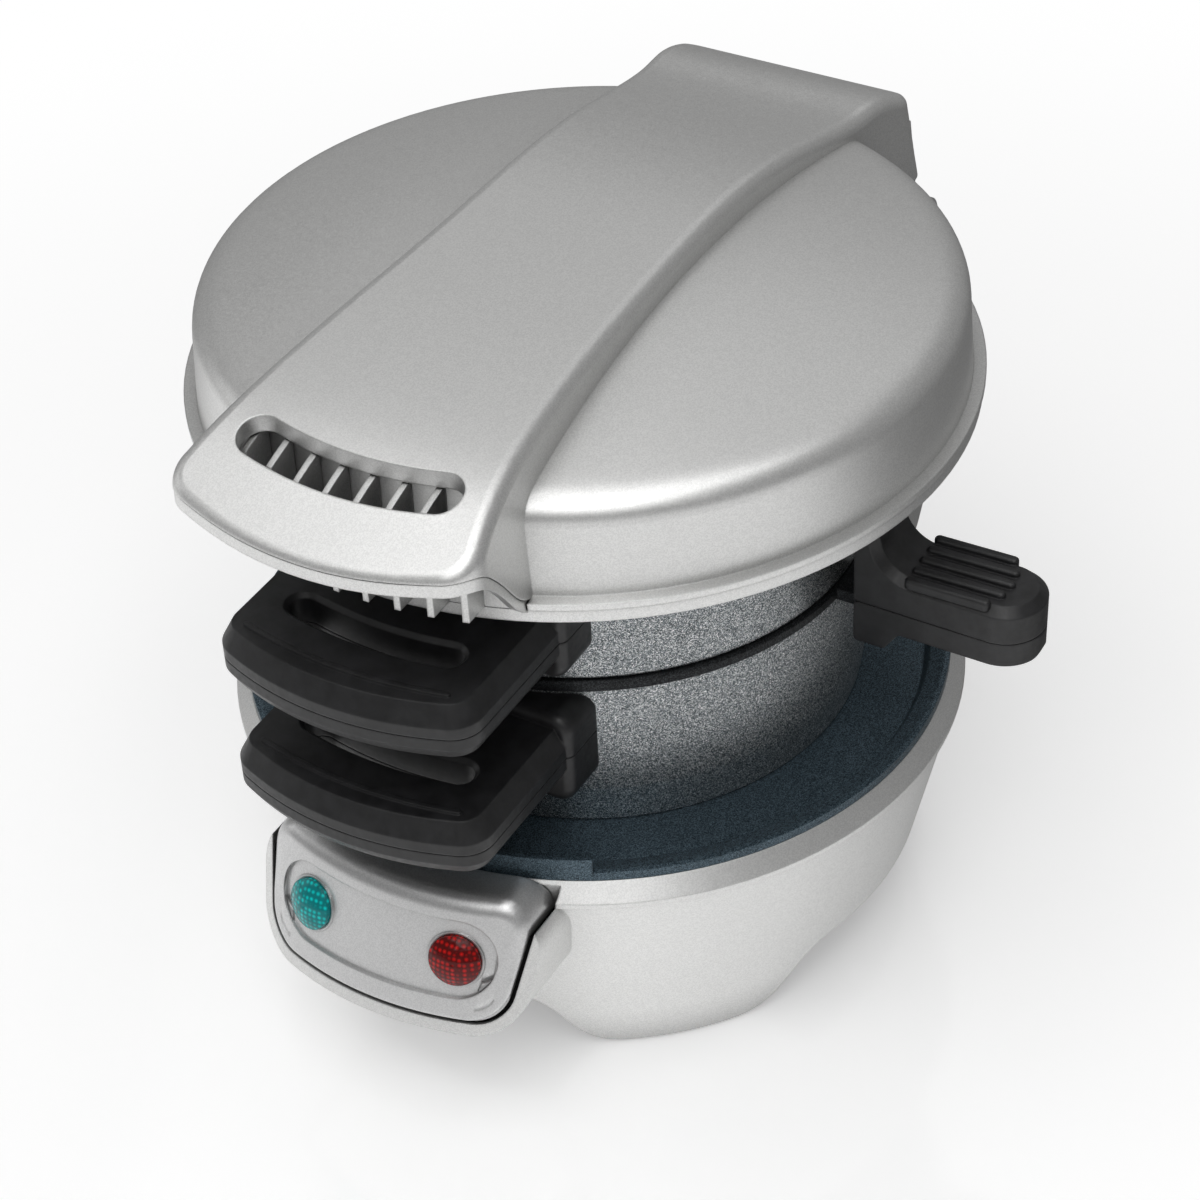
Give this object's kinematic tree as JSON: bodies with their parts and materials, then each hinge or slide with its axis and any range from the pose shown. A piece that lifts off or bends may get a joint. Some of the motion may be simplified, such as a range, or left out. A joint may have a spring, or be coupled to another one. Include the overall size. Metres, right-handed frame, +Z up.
{
  "type": "breakfast sandwich maker",
  "caption": "Countertop sandwich maker: round base with a dished heating plate, stacked hinged rings with a swing-out plate between them, and a domed lid with a slotted handle.",
  "frame": {"origin": "on the table, under the middle of the whole outline (the side handle makes that 9.95 mm towards +X from the axis of the rings), level with the undersides of the rubber feet", "axes": "+Z up; the handles and the indicator panel face -Y; +X is the side of the cooking plate's handle"},
  "size_m": [0.175, 0.1938, 0.1568],
  "materials": {
    "silver_shell": "fine metallic paint on moulded plastic, satin",
    "silver_lower": "fine metallic paint, satin",
    "silver_panel": "slightly darker metallic paint, satin",
    "dark_coat": "die-cast, dark speckled nonstick coat",
    "tray_coat": "dark blue-black nonstick coat",
    "handle_black": "satin black phenolic",
    "lens_green": "clear green, faceted",
    "lens_red": "clear red, faceted",
    "lamp_glass": "small neon lamp",
    "steel": "plain steel",
    "element_steel": "dull sheathed tube",
    "reflector": "bare sheet",
    "plastic_dark": "moulded",
    "ceramic_white": "off-white moulded",
    "wire_cover": "glass-braided lead",
    "foot_rubber": "matt",
    "seal_black": "matt"
  },
  "bodies": {
    "base": {"base_housing": "silver_shell", "bottom_cover": "plastic_dark", "foot_front_right": "foot_rubber", "foot_rear_right": "foot_rubber", "foot_rear_left": "foot_rubber", "foot_front_left": "foot_rubber", "bottom_heating_plate": "tray_coat", "bottom_heating_element": "element_steel", "heat_shield": "reflector", "thermostat": "ceramic_white", "thermal_fuse": "steel", "control_panel": "silver_panel", "panel_seal": "seal_black", "preheat_lens": "lens_green", "preheat_lamp": "lamp_glass", "power_lens": "lens_red", "power_lamp": "lamp_glass", "hinge_bracket": "silver_shell", "hinge_pin": "steel", "pin_clip": "steel", "terminal_block": "ceramic_white", "cord_gland": "plastic_dark", "base_wiring": "wire_cover", "base_screws": "steel"},
    "lower_ring": {"bottom_ring": "dark_coat", "lower_handle_top": "handle_black", "lower_handle_bottom": "handle_black", "lower_handle_screws": "steel"},
    "upper_ring": {"top_ring": "dark_coat", "upper_handle_top": "handle_black", "upper_handle_bottom": "handle_black", "upper_handle_screws": "steel", "plate_pivot_pin": "steel"},
    "plate": {"cooking_plate": "dark_coat", "plate_handle_top": "handle_black", "plate_handle_bottom": "handle_black", "plate_handle_screw": "steel"},
    "lid": {"lid_cover": "silver_shell", "lid_lower_cover": "silver_lower", "top_heating_plate": "dark_coat", "top_heating_element": "element_steel", "lid_heat_shield": "reflector", "lid_wiring": "wire_cover", "lid_screws": "steel"}
  },
  "joints": [
    {"name": "bottom_ring_hinge", "type": "hinge", "parent": "base", "child": "lower_ring", "pos_m": [-0.00995, 0.082, 0.118], "axis": [-1, 0, 0], "range_deg": [0, 30]},
    {"name": "top_ring_hinge", "type": "hinge", "parent": "lower_ring", "child": "upper_ring", "pos_m": [-0.00995, 0.082, 0.118], "axis": [-1, 0, 0], "range_deg": [0, 45]},
    {"name": "lid_hinge", "type": "hinge", "parent": "upper_ring", "child": "lid", "pos_m": [-0.00995, 0.082, 0.118], "axis": [-1, 0, 0], "range_deg": [0, 95]},
    {"name": "plate_swing", "type": "hinge", "parent": "upper_ring", "child": "plate", "pos_m": [0.03813, 0.04808, 0.0893], "axis": [0, 0, 1], "range_deg": [0, 105]}
  ]
}
